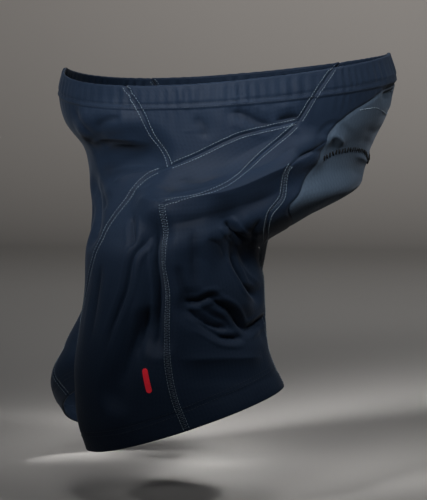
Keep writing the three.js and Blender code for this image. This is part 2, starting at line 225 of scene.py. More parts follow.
STEPS = {"hip_front": 8, "hip_back": 8, "hip_foot": 8, "thigh_front": 19, "thigh_top": 9, "thigh_back": 18,
         "seat_top": 9, "seat_foot": 11, "leg_back": 23, "centre_front": 15, "centre_back_top": 3,
         "centre_back_foot": 20, "inseam_front": 12, "inseam_back": 12}
FINER = 8  # steps of the fine mesh for each step of the solid
CURVE_STEPS, TRACK_STEPS, TREE_STEPS = 400, 2000, 300
# Course, reach and height in millimetres: the large folds that the solids have too.
LEFT_FOLDS = [
    ([(0.4, 5.25), (0.45, 5.7), (0.545, 4.65), (0.69, 3.05)], 26, 9),
    ([(0.24, 2.5), (0.34, 2.9)], 32, -10),
    ([(0.21, 1.7), (0.31, 1.55)], 24, 5),
    ([(0.47, 6.8), (0.483, 8.7), (0.488, 10.2)], 20, -8),
    ([(0.465, 9.9), (0.415, 11.5)], 22, -5),
    ([(0.16, 4.9), (0.25, 6.2), (0.29, 7)], 20, -5),
    ([(0.59, 6.2), (0.64, 7.5), (0.7, 9.3)], 20, -6),
    ([(0.545, 9.4), (0.6, 10), (0.72, 10.4)], 20, -5),
]
RIGHT_FOLDS = [
    ([(0.38, 5.3), (0.47, 5.5), (0.57, 4.5), (0.7, 3.2)], 27, 8),
    ([(0.25, 2.6), (0.33, 3.1)], 30, -8),
    ([(0.2, 1.6), (0.29, 1.7)], 22, 4),
    ([(0.46, 7), (0.475, 8.9), (0.5, 10.6)], 22, -7),
    ([(0.17, 5.1), (0.27, 6.7)], 20, -5),
    ([(0.6, 6.4), (0.66, 7.8), (0.69, 9)], 20, -6),
    ([(0.56, 9.7), (0.64, 10.2), (0.7, 10.9)], 18, -4),
]
# The same for the finer creases, which taper out at both ends. CREASE_DEPTH scales their heights.
LEFT_CREASES = [
    ([(0.458, 6.65), (0.448, 7.45), (0.432, 8.65), (0.405, 9.8), (0.393, 10.5)], 4.5, -2.2),
    ([(0.385, 6.0), (0.41, 6.6), (0.427, 7.1), (0.432, 7.6)], 4.5, -2.0),
    ([(0.47, 9.25), (0.465, 9.9), (0.455, 10.75)], 7, -2.2),
    ([(0.37, 8.2), (0.352, 9.3), (0.35, 10.2)], 8, -1.4),
    ([(0.452, 6.2), (0.471, 6.9), (0.4865, 8.2), (0.49, 9.6), (0.492, 10.6)], 4.5, -3.2),
    ([(0.46, 9.7), (0.44, 10.7), (0.425, 11.4)], 8, -1.8),
    ([(0.585, 6.15), (0.6, 6.4), (0.62, 6.8), (0.645, 7.35), (0.68, 7.7)], 4.6, -3.4),
    ([(0.61, 7.0), (0.65, 7.9), (0.7, 8.4)], 8, -1.6),
    ([(0.628, 7.9), (0.653, 8.65), (0.668, 9.05), (0.712, 9.45)], 4.6, -3.4),
    ([(0.64, 7.6), (0.68, 8.6), (0.73, 9.2)], 8, 1.6),
    ([(0.66, 10.42), (0.69, 10.36), (0.76, 10.2)], 4.6, -3.4),
    ([(0.53, 9.22), (0.555, 9.3), (0.578, 9.15), (0.6, 9.2)], 4, -2.4),
    ([(0.575, 9.14), (0.595, 9.4), (0.623, 9.7), (0.655, 10.3), (0.675, 10.48)], 4.6, -3.8),
    ([(0.538, 9.48), (0.57, 9.9), (0.595, 10.15), (0.618, 10.24)], 4, -2.8),
    ([(0.553, 9.86), (0.588, 10.3), (0.608, 10.5), (0.635, 10.6), (0.652, 10.58)], 4, -3.0),
    ([(0.545, 9.25), (0.53, 8.8), (0.525, 8.2)], 8, -1.2),
    ([(0.54, 6.6), (0.553, 8.0), (0.55, 9.0)], 9, -1.2),
    ([(0.165, 1.25), (0.2, 1.6), (0.225, 2.1)], 7, -1.4),
    ([(0.237, 1.8), (0.279, 1.43), (0.32, 1.33)], 7, -1.4),
    ([(0.17, 2.75), (0.23, 2.35), (0.29, 2.2), (0.36, 2.3)], 22, 3.2),
    ([(0.17, 3.3), (0.22, 2.85), (0.275, 2.55), (0.33, 2.45), (0.37, 2.3)], 9, 1.0),
    ([(0.18, 4.1), (0.227, 3.7), (0.273, 3.5), (0.312, 3.4), (0.345, 3.4)], 13, -2.2),
    ([(0.25, 4.5), (0.273, 4.07), (0.305, 3.8), (0.36, 3.6)], 8, 1.8),
    ([(0.179, 4.43), (0.233, 5.1), (0.287, 5.8)], 8, -1.6),
    ([(0.155, 4.7), (0.22, 5.6), (0.29, 7.0)], 7, -1.6),
    ([(0.52, 1.25), (0.545, 1.3), (0.585, 1.65), (0.61, 1.72)], 7, -1.8),
    ([(0.615, 1.62), (0.66, 1.56)], 7, -2.4),
    ([(0.46, 1.3), (0.48, 1.7), (0.475, 2.1)], 9, -1.0),
    ([(0.36, 4.5), (0.44, 4.7), (0.53, 4.35)], 8, -1.0),
    ([(0.38, 4.9), (0.45, 5.1), (0.5, 4.8)], 6, -0.9),
    ([(0.42, 4.1), (0.47, 4.3), (0.52, 4.0)], 7, -0.8),
    ([(0.56, 3.95), (0.61, 3.4), (0.66, 2.6)], 8, -1.0),
    ([(0.52, 10.85), (0.6, 11.1), (0.7, 11.6)], 12, 1.6),
    ([(0.165, 5.7), (0.21, 6.6), (0.24, 7.6)], 8, -1.2),
    ([(0.36, 5.15), (0.43, 5.6), (0.463, 5.5), (0.527, 5.0), (0.6, 4.25), (0.68, 3.2)], 10, 2.0),
    ([(0.47, 6.6), (0.53, 6.1), (0.59, 5.4), (0.65, 4.7)], 14, -1.4),
    ([(0.57, 7.1), (0.6, 7.6), (0.62, 8.3)], 8, -1.4),
    ([(0.665, 6.2), (0.672, 7.2), (0.7, 8.1)], 8, -1.8),
    ([(0.735, 2.95), (0.745, 2.4), (0.77, 2.55), (0.795, 2.95)], 7, 2.2),
    ([(0.66, 3.3), (0.7, 3.0), (0.745, 3.1)], 7, -1.6),
    ([(0.88, 1.3), (0.95, 1.32), (1.0, 1.3)], 9, -2.6),
    ([(0.84, 2.3), (0.93, 2.6), (1.0, 2.6)], 12, -0.5),
    ([(0.85, 3.45), (0.93, 3.8), (1.0, 4.1)], 9, 1.6),
    ([(0.78, 8.4), (0.86, 8.9), (0.93, 9.8)], 9, -2.0),
    ([(0.8, 9.8), (0.87, 10.3)], 8, -1.6),
    ([(0.05, 8.6), (0.12, 9.2), (0.2, 9.5)], 9, -1.8),
    ([(0.06, 10.4), (0.13, 10.8)], 8, -1.4),
]
RIGHT_CREASES = [
    ([(0.44, 7.2), (0.425, 8.4), (0.4, 9.8)], 7, -2.2),
    ([(0.4, 5.9), (0.425, 6.9), (0.43, 7.6)], 7, -2.0),
    ([(0.36, 8.3), (0.345, 9.6)], 8, -1.5),
    ([(0.47, 6.6), (0.475, 8.4), (0.492, 10.4)], 6, -2.6),
    ([(0.6, 6.2), (0.635, 7.1), (0.66, 7.9)], 7, -2.8),
    ([(0.63, 8.1), (0.67, 8.9), (0.72, 9.5)], 7, -2.8),
    ([(0.56, 9.2), (0.6, 9.5), (0.66, 10.3), (0.7, 10.5)], 7, -2.8),
    ([(0.75, 10.3), (0.7, 10.6), (0.66, 10.7)], 7, -2.4),
    ([(0.54, 7.1), (0.55, 8.6)], 9, -1.2),
    ([(0.23, 2.1), (0.3, 1.95), (0.35, 2.2)], 8, -1.6),
    ([(0.27, 2.9), (0.32, 3.5)], 8, 1.6),
    ([(0.17, 5.0), (0.25, 6.2), (0.28, 6.9)], 7, -1.5),
    ([(0.53, 1.35), (0.57, 1.6), (0.62, 1.65)], 7, -1.8),
    ([(0.38, 4.6), (0.45, 4.8), (0.52, 4.4)], 8, -1.0),
    ([(0.37, 5.2), (0.44, 5.6), (0.53, 5.0), (0.6, 4.3), (0.67, 3.3)], 10, 1.8),
    ([(0.47, 6.5), (0.53, 5.8), (0.6, 5.1), (0.66, 4.4)], 15, -1.6),
    ([(0.66, 6.3), (0.675, 7.3), (0.69, 8.0)], 8, -1.8),
    ([(0.74, 2.9), (0.755, 2.45), (0.785, 2.8)], 7, 1.8),
    ([(0.88, 1.3), (0.95, 1.32), (1.0, 1.3)], 9, -2.6),
    ([(0.85, 2.4), (0.93, 2.6), (1.0, 2.6)], 12, -0.5),
    ([(0.85, 3.5), (0.93, 3.8), (1.0, 4.1)], 9, 1.6),
    ([(0.78, 8.6), (0.86, 9.1), (0.92, 9.9)], 9, -2.0),
    ([(0.05, 8.7), (0.13, 9.3)], 9, -1.8),
    ([(0.2, 11.0), (0.28, 11.3), (0.38, 11.5)], 10, -1.5),
]
CREASE_DEPTH, TAPER_START, TAPER_SLOPE = 1.5, 0.02, 1.6
# A crease throws up a low flank on each side. Its start and width are shares of the crease's reach.
FLANK_RISE, FLANK_START, FLANK_WIDTH = 0.3, 0.8, 1.4
SEAM_GROOVE, SEAM_REACH = -1.0, 3.2
CASING_RISE, CASING_BROW = 0.7, 1.07
FLATLOCK_RISE, FLATLOCK_REACH = 0.5, 4.2
FLATLOCKED = ("thigh_back", "inseam_back")
GATHERS_ROUND, GATHER_HEIGHT, GATHERS_BELOW = 46, 1.5, 0.55
# The ring and depth of the groove that each row of cover stitches pulls in, and its width in rings.
STITCH_GROOVES, GROOVE_WIDTH = ((0.82, 0.8), (12.4, 0.4)), 0.05
PULL_HEIGHT = 0.45
# Painted shade on the knit: its share at a seam, reach from a seam in mm, and crease depth for full shade.
PAINTED_SHADE_AT_SEAM, PAINTED_SHADE_REACH, FULL_PAINTED_SHADE_SINK = 0.5, 1.3, 3
EDGE_FULLNESS = 0.8


def ring_at(half, v):
    """The ring table's columns, carried smoothly to each height in v."""
    table = np.array(TRUNK_RINGS + LEG_RINGS[half], float)
    ends = np.vstack([2 * table[0] - table[1], table, 2 * table[-1] - table[-2]])
    first = np.clip(np.floor(v).astype(int), 0, len(table) - 2)
    t = (v - first)[:, None]
    before, start, end, after = (ends[first + k] for k in range(4))
    bend = 2 * before - 5 * start + 4 * end - after
    rows = start + 0.5 * t * (end - before + t * (bend + t * (after - before + 3 * (start - end))))
    ring = dict(zip(RING_COLUMNS, rows.T))
    leg, first_rings = v >= CROTCH, v <= FIRST_WRAP
    for column in ("wrap_front", "wrap_back"):
        ring[column] = np.where(leg, 90.0, np.where(first_rings, 0.0, ring[column]))
    ring["mid"] = np.where(first_rings, 0.0, ring["mid"])
    ring["inner"] = np.where(leg, ring["inner"], 0.0)
    return ring


def ease(x):
    """0 to 1 with flat ends."""
    x = np.clip(x, 0, 1)
    return x * x * (3 - 2 * x)


def form(half, u, v):
    """Places on the smooth form of a half, in millimetres."""
    u, v = np.array(u, float), np.array(v, float)
    trunk = v < CROTCH
    mirror = np.where(trunk & ((u < 0) | (u > 1)), -1.0, 1.0)
    folded = np.where(u < 0, -u, np.where(u > 1, 2 - u, u))
    u = np.where(trunk, folded, np.where((u < 0) | (u > 1), u % 1, u))
    r = ring_at(half, v)
    angle = u * (180 + r["wrap_front"] + r["wrap_back"]) - r["wrap_front"]
    outside = (angle >= 0) & (angle <= 180)
    side = np.clip(np.sin(np.radians(angle)), 0, 1)
    along_out = -np.cos(np.radians(angle))
    x_out = r["mid"] + (r["out"] - r["mid"]) * side ** r["fullness"]
    drop_out = r["dip"] * side * (1 - DIP_FORWARD * along_out)
    front = angle < 0
    wrap = np.maximum(np.where(front, r["wrap_front"], r["wrap_back"]), 1e-6)
    past = np.clip(np.where(front, -angle, angle - 180) / wrap, 0, 1)
    turn = np.radians(wrap * past)
    round_off = np.clip((wrap - ROUND_WRAP) / (90 - ROUND_WRAP), 0, 1) ** 2
    arc = np.sin(turn) / np.sin(np.radians(wrap))
    bridge = 1 - (1 - np.cos(np.radians(wrap))) * ease(past)
    turned = round_off * np.cos(turn) + (1 - round_off) * bridge
    x_in = r["mid"] + (r["inner"] - r["mid"]) * (round_off * arc + (1 - round_off) * past)
    along_in = np.where(front, -turned, turned)
    drop_in = r["sag"] * ease(past) - r["dip"] * np.sin(turn) * (1 - DIP_FORWARD * along_in)
    x = np.where(outside, x_out, x_in)
    share = (1 + np.where(outside, along_out, along_in)) / 2
    y = r["front_y"] + (r["back_y"] - r["front_y"]) * share
    z = r["front_z"] + (r["back_z"] - r["front_z"]) * share - np.where(outside, drop_out, drop_in)
    return np.stack([half * mirror * x, y, z], 1)


def unit(vectors):
    """The vectors at length 1."""
    return vectors / np.maximum(np.linalg.norm(vectors, axis=1), 1e-9)[:, None]


def form_normal(half, u, v):
    """Outward normals of the smooth form."""
    du = 0.004
    dv = du * RINGS_PER_TURN
    across = form(half, u + du, v) - form(half, u - du, v)
    down = form(half, u, np.minimum(v + dv, HEM_EDGE)) - form(half, u, np.maximum(v - dv, 0))
    normals = half * np.cross(down, across)
    centre = (v <= CROTCH) & ((u == 0) | (u == 1))
    normals[centre, 0] = 0
    normals[(v == CROTCH) & centre] = (0, 0, -1)
    return unit(normals)


def curve_places(points, shares=None, count=None):
    """[u, v] places at shares of the length of a smooth curve through the points."""
    p = np.array(points, float) * (RINGS_PER_TURN, 1)
    t = np.linspace(0, len(p) - 1, CURVE_STEPS)
    i = np.minimum(t.astype(int), len(p) - 2)
    w = (t - i)[:, None]
    p0, p1, p2, p3 = p[np.maximum(i - 1, 0)], p[i], p[i + 1], p[np.minimum(i + 2, len(p) - 1)]
    v0, v1 = (p2 - p0) / 2, (p3 - p1) / 2
    q = (2 * p1 - 2 * p2 + v0 + v1) * w ** 3 + (3 * p2 - 3 * p1 - 2 * v0 - v1) * w ** 2 + v0 * w + p1
    length = np.concatenate([[0], np.cumsum(np.linalg.norm(np.diff(q, axis=0), axis=1))])
    shares = np.linspace(0, 1, count) if shares is None else np.asarray(shares)
    found = np.stack([np.interp(shares * length[-1], length, q[:, k]) for k in (0, 1)], 1)
    return found / (RINGS_PER_TURN, 1)


def seam_places(name):
    """Places along a seam at the solid's steps, each cut into finer ones."""
    points, steps = SEAMS[name], STEPS[name]
    track = curve_places(points, count=TRACK_STEPS)
    share_at = lambda v: np.interp(v, track[:, 1], np.linspace(0, 1, TRACK_STEPS))
    casing = [share_at(v) for v in (0, CASING_END / 2, CASING_END, CASING_STEP)]
    hem = [share_at(v) for v in (HEM_STEP, HEM_START, HEM_EDGE)]
    head = casing if points[0][1] == 0 else [0.0]
    tail = hem if points[-1][1] == HEM_EDGE else [1.0]
    spaced = steps - (len(head) - 1) - (len(tail) - 1)
    shares = head[:-1] + list(np.linspace(head[-1], tail[0], spaced + 1)) + tail[1:]
    fine = np.interp(np.linspace(0, steps, steps * FINER + 1), range(steps + 1), shares)
    places = curve_places(points, fine)
    places[0], places[-1] = points[0], points[-1]
    return places


def near_course(places, course_points):
    """The distance to a course, and a taper from 1 along most of it to 0 at its ends."""
    best = np.full(len(places), np.inf)
    where = np.zeros(len(places))
    legs = list(zip(course_points[:-1], course_points[1:]))
    for k, (a, b) in enumerate(legs):
        way = b - a
        t = np.clip((places - a) @ way / (way @ way), 0, 1)
        distance = np.linalg.norm(places - a - t[:, None] * way, axis=1)
        closer = distance < best
        best = np.where(closer, distance, best)
        where = np.where(closer, (k + t) / len(legs), where)
    taper = np.sin(np.pi * np.clip(where, TAPER_START, 1 - TAPER_START))
    return best, np.clip(taper * TAPER_SLOPE, 0, 1)


courses = []
for half, fine, rows in ((LEFT, False, LEFT_FOLDS), (RIGHT, False, RIGHT_FOLDS),
                         (LEFT, True, LEFT_CREASES), (RIGHT, True, RIGHT_CREASES)):
    for course, reach, height in rows:
        path = curve_places(course, count=4 * len(course) + 1)
        courses.append((half, form(half, path[:, 0], path[:, 1]), reach, height, fine))

seam_tree_points = []
for seam_name in SEAMS:
    if seam_name == "centre_back_foot":
        continue
    for half in (LEFT, RIGHT):
        path = curve_places(SEAMS[seam_name], count=TREE_STEPS)
        kind = 1 if seam_name in FLATLOCKED else 0
        seam_tree_points += [(p, kind) for p in form(half, path[:, 0], path[:, 1])]
seam_tree = kdtree.KDTree(len(seam_tree_points))
for index, (p, kind) in enumerate(seam_tree_points):
    seam_tree.insert(p, index)
seam_tree.balance()


def seam_distances(places):
    """The distance to the nearest seam, and whether that seam is a flatlock."""
    found = [seam_tree.find(p) for p in places]
    return np.array([f[2] for f in found]), np.array([seam_tree_points[f[1]][1] for f in found])


def cloth_height(half, u, v, places):
    """How far folds, creases, gathers and seams move the cloth outwards."""
    height = np.zeros(len(places))
    for course_half, course_points, reach, rise, fine in courses:
        if course_half != half:
            continue
        distance, taper = near_course(places, course_points)
        if fine:
            x = distance / reach
            height += CREASE_DEPTH * rise * taper * np.clip(1 - x, 0, 1) ** 1.6
            flank = np.clip((x - FLANK_START) / FLANK_WIDTH, 0, 1)
            height -= FLANK_RISE * rise * taper * np.sin(np.pi * flank) ** 2
        else:
            height += np.where(distance < reach, rise * np.cos(np.pi * distance / reach / 2) ** 2, 0)
    distance, flatlock = seam_distances(places)
    groove = SEAM_GROOVE * np.clip(1 - distance / SEAM_REACH, 0, 1) ** 2
    rise = FLATLOCK_RISE * np.cos(np.pi / 2 * np.clip(distance / FLATLOCK_REACH, 0, 1)) ** 2
    height += np.where(flatlock == 1, rise, groove)
    # Gathers of the elastic, whose spacing and height wander round the waist.
    turn = 2 * np.pi * u * GATHERS_ROUND
    ripple = np.sin(turn + 1.9 * np.sin(u * 31 + half)) * (0.65 + 0.35 * np.sin(u * 57 + 2 * half))
    in_casing = np.clip(v / 0.25, 0, 1) * np.clip((1.0 - v) / 0.3, 0, 1)
    below = np.clip((v - 1.0) / 0.15, 0, 1) * np.clip((2.2 - v) / 1.2, 0, 1) ** 2
    middle = 0.3 + 0.7 * np.exp(-((u - 0.5) / 0.25) ** 2)
    height += GATHER_HEIGHT * middle * ripple * (in_casing + GATHERS_BELOW * below)
    height += CASING_RISE * (1 - ease((v - CASING_END) / (CASING_BROW - CASING_END)))
    for stitch_v, sink in STITCH_GROOVES:
        height -= sink * np.exp(-((v - stitch_v) / GROOVE_WIDTH) ** 2)
    # Slight pulls all over the knit, a few centimetres long.
    x, y, z = places.T / 10
    pulls = np.sin(0.9 * y + 0.5 * z + 1.4 * np.sin(0.33 * z + x))
    pulls = pulls * np.sin(0.42 * z - 0.3 * y + np.sin(0.6 * x + 2))
    height += PULL_HEIGHT * pulls
    return height


def painted_crease_shade(half, places):
    """Painted shade, darkening the knit: 0 on open cloth, up to 1 deep in a crease, 0.5 on a seam."""
    shade = PAINTED_SHADE_AT_SEAM * np.clip(1 - seam_distances(places)[0] / PAINTED_SHADE_REACH, 0, 1)
    for course_half, course_points, reach, rise, fine in courses:
        if fine and rise < 0 and course_half == half:
            distance, taper = near_course(places, course_points)
            nearness = np.clip(1.1 - 1.6 * distance / reach, 0, 1)
            shade = np.maximum(shade, -rise / FULL_PAINTED_SHADE_SINK * taper * nearness)
    return np.clip(shade, 0, 1)


def cloth(half, u, v):
    """Places and outward normals on the folded cloth of a half."""
    u, v = np.array(u, float), np.array(v, float)
    places = form(half, u, v)
    normals = form_normal(half, u, v)
    return places + normals * cloth_height(half, u, v, places)[:, None], normals


def wall_at(v):
    """The wall's thickness, with the turned casing and hem thicker."""
    casing = 1 - ease((v - CASING_END) / (CASING_STEP - CASING_END))
    hem = ease((v - HEM_STEP) / (HEM_START - HEM_STEP))
    return BODY_WALL + (CASING_WALL - BODY_WALL) * casing + (HEM_WALL - BODY_WALL) * hem


def joined(*names):
    """Places along seams that follow one another."""
    runs = [seam_places(name) for name in names]
    return np.vstack([runs[0]] + [run[1:] for run in runs[1:]])


def piece_rows(fore, aft, across, foot_edge=None):
    """[u, v] places of a piece, as rows between two facing seams."""
    s = np.linspace(0, 1, across + 1)[None, :, None]
    rows = fore[:, None] * (1 - s) + aft[:, None] * s
    if foot_edge is not None:
        t = np.linspace(0, 1, len(fore))[:, None, None]
        rows = rows + (foot_edge[None] - rows[-1:]) * t
    return rows


def cloth_shell(name, rows, halves, material):
    """A closed thin shell on rows of places, with open edges rolled round and seam edges left sharp."""
    count, across = rows.shape[:2]
    u, v = rows[..., 0].ravel(), rows[..., 1].ravel()
    halves = np.broadcast_to(halves, rows.shape[:2]).ravel()
    outer, normals = np.zeros((len(u), 3)), np.zeros((len(u), 3))
    shade = np.zeros(len(u))
    for half in (LEFT, RIGHT):
        own = halves == half
        if own.any():
            outer[own], normals[own] = cloth(half, u[own], v[own])
            shade[own] = painted_crease_shade(half, outer[own])
    grid = outer.reshape(count, across, 3)
    run_across = np.cumsum(np.linalg.norm(np.diff(grid, axis=1, prepend=grid[:, :1]), axis=2), axis=1)
    run_down = np.cumsum(np.linalg.norm(np.diff(grid, axis=0, prepend=grid[:1]), axis=2), axis=0)
    run_across -= run_across[:, -1:] / 2
    # The piece laid flat, with 100 mm to each unit of its UVs.
    layout = np.stack([run_across.ravel(), -run_down.ravel()], 1) * MM * 10

    _, kept, same = np.unique(np.round(outer, 2), axis=0, return_index=True, return_inverse=True)
    index = same.reshape(count, across)
    a, b = index[:-1, :-1].ravel(), index[1:, :-1].ravel()
    c, d = index[1:, 1:].ravel(), index[:-1, 1:].ravel()
    quads = np.stack([a, b, c, d], 1)
    points, normals, v = outer[kept], normals[kept], v[kept]
    faces = []
    for quad in quads.tolist():
        face = [p for k, p in enumerate(quad) if p != quad[k - 1]]
        if len(set(face)) == len(face) >= 3:
            faces.append(face)
    first = points[faces[len(faces) // 2]]
    if np.cross(first[1] - first[0], first[2] - first[0]) @ normals[faces[len(faces) // 2][0]] < 0:
        faces = [face[::-1] for face in faces]

    smooth_normals = np.zeros_like(points)
    for face in faces:
        p = points[face]
        smooth_normals[face] += np.cross(p[2] - p[0], p[-1] - p[1] if len(face) == 4 else p[2] - p[1])
    flip = np.sign((unit(smooth_normals) * normals).sum(1))
    smooth_normals = unit(smooth_normals) * np.where(flip == 0, 1, flip)[:, None]
    inner = points - smooth_normals * wall_at(v)[:, None]

    edges = {(face[k - 1], face[k]) for face in faces for k in range(len(face))}
    border = [(p, q) for p, q in edges if (q, p) not in edges]
    total = len(points)
    vertices = np.vstack([points, inner])
    all_faces = faces + [[p + total for p in face[::-1]] for face in faces]
    sharp = set()
    rolled = {}
    extra, extra_of = [], []
    for p in dict(border):
        rolled[p] = []
        if 1e-6 <= v[p] <= HEM_EDGE - 1e-6:
            continue
        middle, radius = (points[p] + inner[p]) / 2, (points[p] - inner[p]) / 2
        away = np.array([0, 0, 1.0 if v[p] < 1 else -1.0])
        away = away - smooth_normals[p] * (away @ smooth_normals[p])
        away = unit(away[None])[0] * np.linalg.norm(radius)
        for roll in np.radians((45, 90, 135)):
            rolled[p].append(2 * total + len(extra))
            extra.append(middle + radius * np.cos(roll) + away * np.sin(roll) * EDGE_FULLNESS)
            extra_of.append(p)
    for p, q in border:
        if rolled[p] and rolled[q]:
            down_p, down_q = [p, *rolled[p], p + total], [q, *rolled[q], q + total]
            all_faces += [[down_q[k], down_p[k], down_p[k + 1], down_q[k + 1]] for k in range(4)]
        else:
            side = [q, p, *rolled[p], p + total, q + total, *rolled[q][::-1]]
            all_faces.append(side)
            sharp |= {tuple(sorted((p, q))), tuple(sorted((p + total, q + total)))}
    if extra:
        vertices = np.vstack([vertices, extra])

    mesh = bpy.data.meshes.new(name)
    mesh.from_pydata((vertices * MM).tolist(), [], all_faces)
    mesh.validate()
    mesh.shade_smooth()
    marks = mesh.attributes.new("sharp_edge", "BOOLEAN", "EDGE")
    keys = np.zeros(len(mesh.edges) * 2, int)
    mesh.edges.foreach_get("vertices", keys)
    marks.data.foreach_set("value", [tuple(sorted(pair)) in sharp for pair in keys.reshape(-1, 2).tolist()])
    flat = layout[kept][[*range(total), *range(total), *extra_of]]
    # Painted shade of creases and seams, on the outer side only.
    depth = mesh.attributes.new("painted_crease_shade", "FLOAT", "POINT")
    depth.data.foreach_set("value", np.concatenate([shade[kept], np.zeros(total + len(extra))]))
    uv = mesh.uv_layers.new(name="cloth_layout")
    corners = np.zeros(len(mesh.loops), int)
    mesh.loops.foreach_get("vertex_index", corners)
    uv.data.foreach_set("uv", flat[corners].ravel())
    mesh.materials.append(material)
    return new_object(name, mesh)


def math_node(tree, operation, first, second=None):
    """A math node on numbers or sockets, and its output."""
    node = tree.nodes.new("ShaderNodeMath")
    node.operation = operation
    for socket, value in zip(node.inputs, (first, second)):
        if value is None:
            continue
        if isinstance(value, (int, float)):
            socket.default_value = value
        else:
            tree.links.new(value, socket)
    return node.outputs["Value"]


# Warp knit: fine wales along the piece and courses across it, laid out on the piece's own flat UVs.
knit = bpy.data.node_groups.new("stretch_knit", "ShaderNodeTree")
for label, kind, value in (("Layout", "Vector", None), ("Wales", "Float", 180.0),
                           ("Courses", "Float", 150.0), ("Mottle Size", "Float", 3.0)):
    socket = knit.interface.new_socket(label, in_out="INPUT", socket_type=f"NodeSocket{kind}")
    if value is not None:
        socket.default_value = value
for label in ("Height", "Shade", "Sheen Patches"):
    knit.interface.new_socket(label, in_out="OUTPUT", socket_type="NodeSocketFloat")
knit_in, knit_out = knit.nodes.new("NodeGroupInput"), knit.nodes.new("NodeGroupOutput")
split = knit.nodes.new("ShaderNodeSeparateXYZ")
link(knit_in, "Layout", split, "Vector")
wale = math_node(knit, "SINE", math_node(knit, "MULTIPLY", split.outputs["X"], knit_in.outputs["Wales"]))
course_turn = math_node(knit, "MULTIPLY", split.outputs["Y"], knit_in.outputs["Courses"])
zigzag = math_node(knit, "MULTIPLY", wale, 1.1)
course_wave = math_node(knit, "SINE", math_node(knit, "ADD", course_turn, zigzag))
half_wale, half_course = (math_node(knit, "MULTIPLY", wave, 0.5) for wave in (wale, course_wave))
loops = math_node(knit, "ADD", half_wale, half_course)
knit.links.new(loops, knit_out.inputs["Height"])
cloud = knit.nodes.new("ShaderNodeTexNoise")
put(cloud, Detail=4)
link(knit_in, "Layout", cloud, "Vector")
link(knit_in, "Mottle Size", cloud, "Scale")
link(cloud, "Fac", knit_out, "Sheen Patches")
shade = math_node(knit, "ADD", math_node(knit, "MULTIPLY", loops, 0.25), cloud.outputs["Fac"])
knit.links.new(shade, knit_out.inputs["Shade"])


def knit_material(name, dark, light, roughness, sheen, bump):
    """Stretch knit: two close shades, a satin face and a soft blue sheen at grazing light."""
    material, surface = new_material(name)
    tree = surface.id_data
    layout = tree.nodes.new("ShaderNodeUVMap")
    layout.uv_map = "cloth_layout"
    weave = tree.nodes.new("ShaderNodeGroup")
    weave.node_tree = knit
    link(layout, "UV", weave, "Layout")
    tone = tone_ramp(tree, [(0.25, dark), (0.85, light)])
    link(weave, "Shade", tone, "Fac")
    # Painted shade: creases and seams darken the base colour towards a quarter of the dark tone.
    depth = tree.nodes.new("ShaderNodeAttribute")
    depth.attribute_name = "painted_crease_shade"
    painted_shade_mix = tree.nodes.new("ShaderNodeMix")
    painted_shade_mix.data_type = "RGBA"
    put(painted_shade_mix, B=(*(0.25 * np.array(dark)), 1))
    link(depth, "Fac", painted_shade_mix, "Factor")
    link(tone, "Color", painted_shade_mix, "A")
    link(painted_shade_mix, "Result", surface, "Base Color")
    patches = tree.nodes.new("ShaderNodeMapRange")
    put(patches, To_Min=roughness - 0.06, To_Max=roughness + 0.06)
    link(weave, "Sheen Patches", patches, "Value")
    link(patches, "Result", surface, "Roughness")
    relief = tree.nodes.new("ShaderNodeBump")
    put(relief, Strength=bump, Distance=0.0001)
    link(weave, "Height", relief, "Height")
    link(relief, "Normal", surface, "Normal")
    put(surface, Sheen_Weight=sheen, Sheen_Roughness=0.45, Sheen_Tint=(0.7, 0.82, 1.0, 1))
    put(surface, Specular_IOR_Level=0.06)
    return material


body_knit = knit_material(
    "navy_body_knit", (0.0039, 0.0082, 0.0172), (0.0056, 0.0110, 0.0218), 0.6, 0.05, 0.3)
SIDES = (("left", LEFT), ("right", RIGHT))

FRONT_ACROSS = 64
front_rows = piece_rows(
    joined("centre_front", "inseam_front"), joined("hip_front", "thigh_front"), FRONT_ACROSS)
for side, half in SIDES:
    front = cloth_shell(f"{side}_front_cloth", front_rows, half, body_knit)
    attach(front, "root")
    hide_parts(f"{side}_front")


# The two hip pieces: a small shaped panel at the side, set in under the waist casing between two slanting
# seams. The same navy knit, cut from one layer.
hip_foot = seam_places("hip_foot")
hip_rows = piece_rows(seam_places("hip_front"), seam_places("hip_back"), len(hip_foot) - 1, hip_foot)
for side, half in SIDES:
    hip = cloth_shell(f"{side}_hip_cloth", hip_rows, half, body_knit)
    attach(hip, "root")
    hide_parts(f"{side}_hip")


# The two thigh pieces: long panels from a point at the rear of the hip, over the front of the thigh and
# down to the hem. The same navy knit, pulled smooth, with long soft creases beside the rear seam.
THIGH_ACROSS = 84
thigh_fore = np.vstack([hip_foot[::-1], seam_places("thigh_front")[1:]])
thigh_rows = piece_rows(thigh_fore, joined("thigh_top", "thigh_back"), THIGH_ACROSS)
for side, half in SIDES:
    thigh = cloth_shell(f"{side}_thigh_cloth", thigh_rows, half, body_knit)
    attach(thigh, "root")
    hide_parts(f"{side}_thigh")


# The two back pieces: from the centre back at the casing, beside the seat and down the outer back of the
# leg. The same navy knit, with the deepest creases of the garment where the leg bends.
BACK_ACROSS = 104
back_rows = piece_rows(
    joined("hip_back", "thigh_top", "thigh_back"), joined("centre_back_top", "seat_top", "leg_back"),
    BACK_ACROSS)
for side, half in SIDES:
    back = cloth_shell(f"{side}_back_cloth", back_rows, half, body_knit)
    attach(back, "root")
    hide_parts(f"{side}_back")


# The two inner leg pieces: from a point beside the seat down the inner back of the leg to the hem.
# The same navy knit, joined to the front piece at the inseam.
INNER_LEG_ACROSS = 48
inner_leg_rows = piece_rows(
    seam_places("leg_back"), joined("seat_foot", "inseam_back"), INNER_LEG_ACROSS)
for side, half in SIDES:
    inner_leg = cloth_shell(f"{side}_inner_leg_cloth", inner_leg_rows, half, body_knit)
    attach(inner_leg, "root")
    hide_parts(f"{side}_inner_leg")
